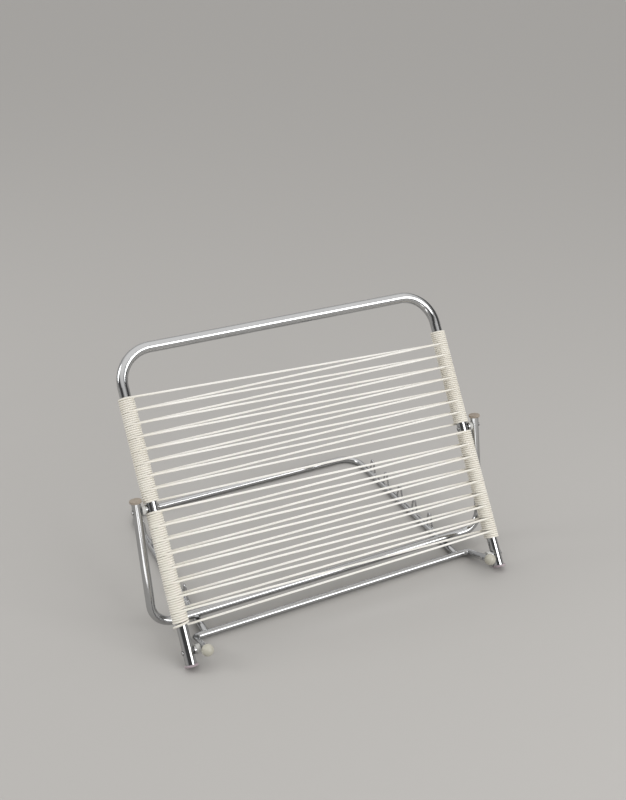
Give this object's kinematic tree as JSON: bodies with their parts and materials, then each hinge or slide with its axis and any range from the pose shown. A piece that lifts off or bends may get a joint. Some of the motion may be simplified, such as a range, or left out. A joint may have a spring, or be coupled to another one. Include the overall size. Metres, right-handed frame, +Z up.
{
  "type": "magazine rack",
  "caption": "Adjustable leaning rack of bent chromed tube: a cord-laced panel hinged to a flat floor frame and held up by a swinging prop.",
  "frame": {"origin": "on the floor under the middle of the bounding box", "axes": "+X to the right of someone facing the corded panel, +Y to the rear, +Z up"},
  "size_m": [0.532, 0.3839, 0.3532],
  "materials": {
    "chrome_tube": "polished",
    "chrome_wire": "polished",
    "rivet_steel": "polished",
    "cord": "smooth round plastic cord",
    "grey_plastic": "matte",
    "bush_plastic": "matte",
    "ivory_plastic": "satin"
  },
  "bodies": {
    "base": {"base_tube": "chrome_tube", "front_bar": "chrome_tube", "ratchet_wire_left": "chrome_wire", "ratchet_wire_right": "chrome_wire", "tip_ball_left": "ivory_plastic", "tip_ball_right": "ivory_plastic", "hinge_pin_left": "rivet_steel", "hinge_pin_right": "rivet_steel", "hinge_bush_left": "bush_plastic", "hinge_bush_right": "bush_plastic", "hinge_washer_left": "rivet_steel", "hinge_washer_right": "rivet_steel"},
    "panel": {"panel_tube": "chrome_tube", "lacing_cord": "cord", "foot_plug_left": "grey_plastic", "foot_plug_right": "grey_plastic", "pivot_pin_left": "rivet_steel", "pivot_pin_right": "rivet_steel", "pivot_bush_left": "bush_plastic", "pivot_bush_right": "bush_plastic", "pivot_washer_left": "rivet_steel", "pivot_washer_right": "rivet_steel"},
    "prop": {"prop_tube": "chrome_tube", "prop_cap_left": "grey_plastic", "prop_cap_right": "grey_plastic"}
  },
  "joints": [
    {"name": "panel_tilt", "type": "hinge", "parent": "base", "child": "panel", "pos_m": [0, -0.16906, 0.02073], "axis": [1, 0, 0], "range_deg": [0, 120]},
    {"name": "prop_swing", "type": "hinge", "parent": "panel", "child": "prop", "pos_m": [0, -0.06408, 0.17638], "axis": [1, 0, 0], "range_deg": [-15, 0]}
  ]
}
